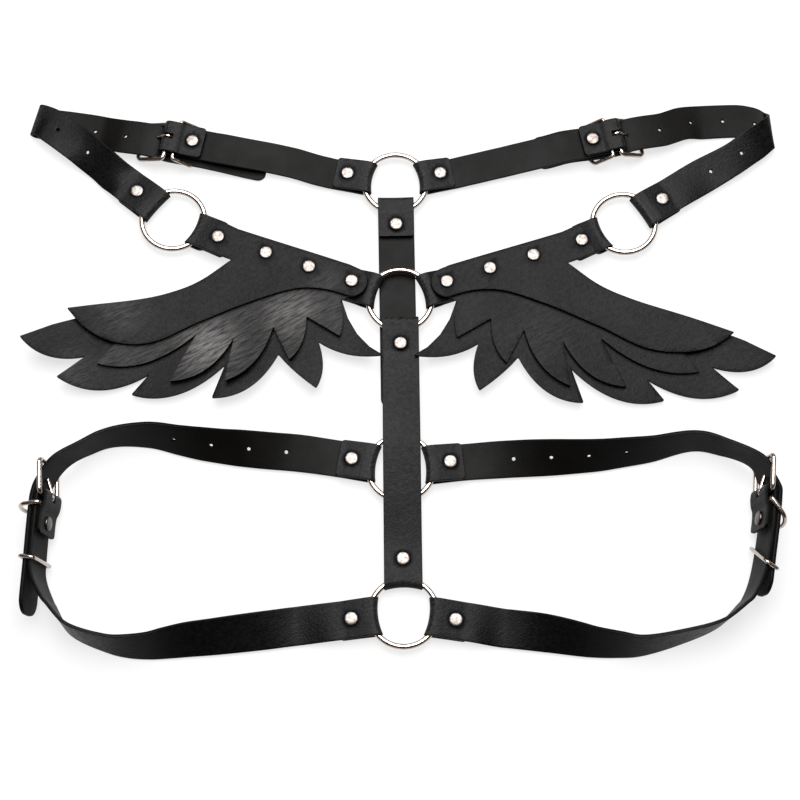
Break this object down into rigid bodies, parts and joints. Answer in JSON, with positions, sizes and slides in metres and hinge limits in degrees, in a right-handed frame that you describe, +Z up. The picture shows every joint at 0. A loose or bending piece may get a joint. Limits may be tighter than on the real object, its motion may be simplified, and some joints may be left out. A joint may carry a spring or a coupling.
{
  "type": "angel wing harness",
  "caption": "Black leather body harness laid flat: feathered wings in layers, neck, shoulder and belt straps joined by metal rings, buckles and rivets.",
  "frame": {"origin": "underside of the chest strap on the centre line, on the surface that the harness lies on", "axes": "+X towards the right wing as seen from above, +Y towards the neck ring, +Z up from the surface"},
  "size_m": [0.4219, 0.318, 0.0271],
  "materials": {
    "leather": "satin, fine grain",
    "nickel": "polished nickel plate"
  },
  "bodies": {
    "root": {"buckle_belt_left": "nickel", "buckle_belt_right": "nickel", "buckle_neck_left": "nickel", "buckle_neck_right": "nickel", "d_ring_belt_left": "nickel", "d_ring_belt_right": "nickel", "d_ring_neck_left": "nickel", "d_ring_neck_right": "nickel", "keeper_belt_left": "nickel", "keeper_belt_right": "nickel", "prong_belt_left": "nickel", "prong_belt_right": "nickel", "prong_neck_left": "nickel", "prong_neck_right": "nickel", "ring_belt_far": "nickel", "ring_belt_near": "nickel", "ring_neck": "nickel", "ring_shoulder_left": "nickel", "ring_shoulder_right": "nickel", "ring_wing": "nickel", "rivet_belt_far_left": "nickel", "rivet_belt_far_right": "nickel", "rivet_belt_near_left": "nickel", "rivet_belt_near_right": "nickel", "rivet_buckle_belt_left": "nickel", "rivet_buckle_belt_right": "nickel", "rivet_buckle_neck_left": "nickel", "rivet_buckle_neck_right": "nickel", "rivet_chest_bottom": "nickel", "rivet_chest_top": "nickel", "rivet_neck_left": "nickel", "rivet_neck_right": "nickel", "rivet_shoulder_left": "nickel", "rivet_shoulder_right": "nickel", "rivet_spine_bottom": "nickel", "rivet_spine_top": "nickel", "rivet_wing_left_1": "nickel", "rivet_wing_left_2": "nickel", "rivet_wing_left_3": "nickel", "rivet_wing_left_4": "nickel", "rivet_wing_right_1": "nickel", "rivet_wing_right_2": "nickel", "rivet_wing_right_3": "nickel", "rivet_wing_right_4": "nickel", "strap_belt_far_left": "leather", "strap_belt_far_right": "leather", "strap_belt_near_left": "leather", "strap_belt_near_right": "leather", "strap_chest": "leather", "strap_neck_left": "leather", "strap_neck_right": "leather", "strap_shoulder_left": "leather", "strap_shoulder_right": "leather", "strap_spine": "leather", "wing_bottom_left": "leather", "wing_bottom_right": "leather", "wing_middle_left": "leather", "wing_middle_right": "leather", "wing_top_left": "leather", "wing_top_right": "leather"}
  },
  "joints": []
}
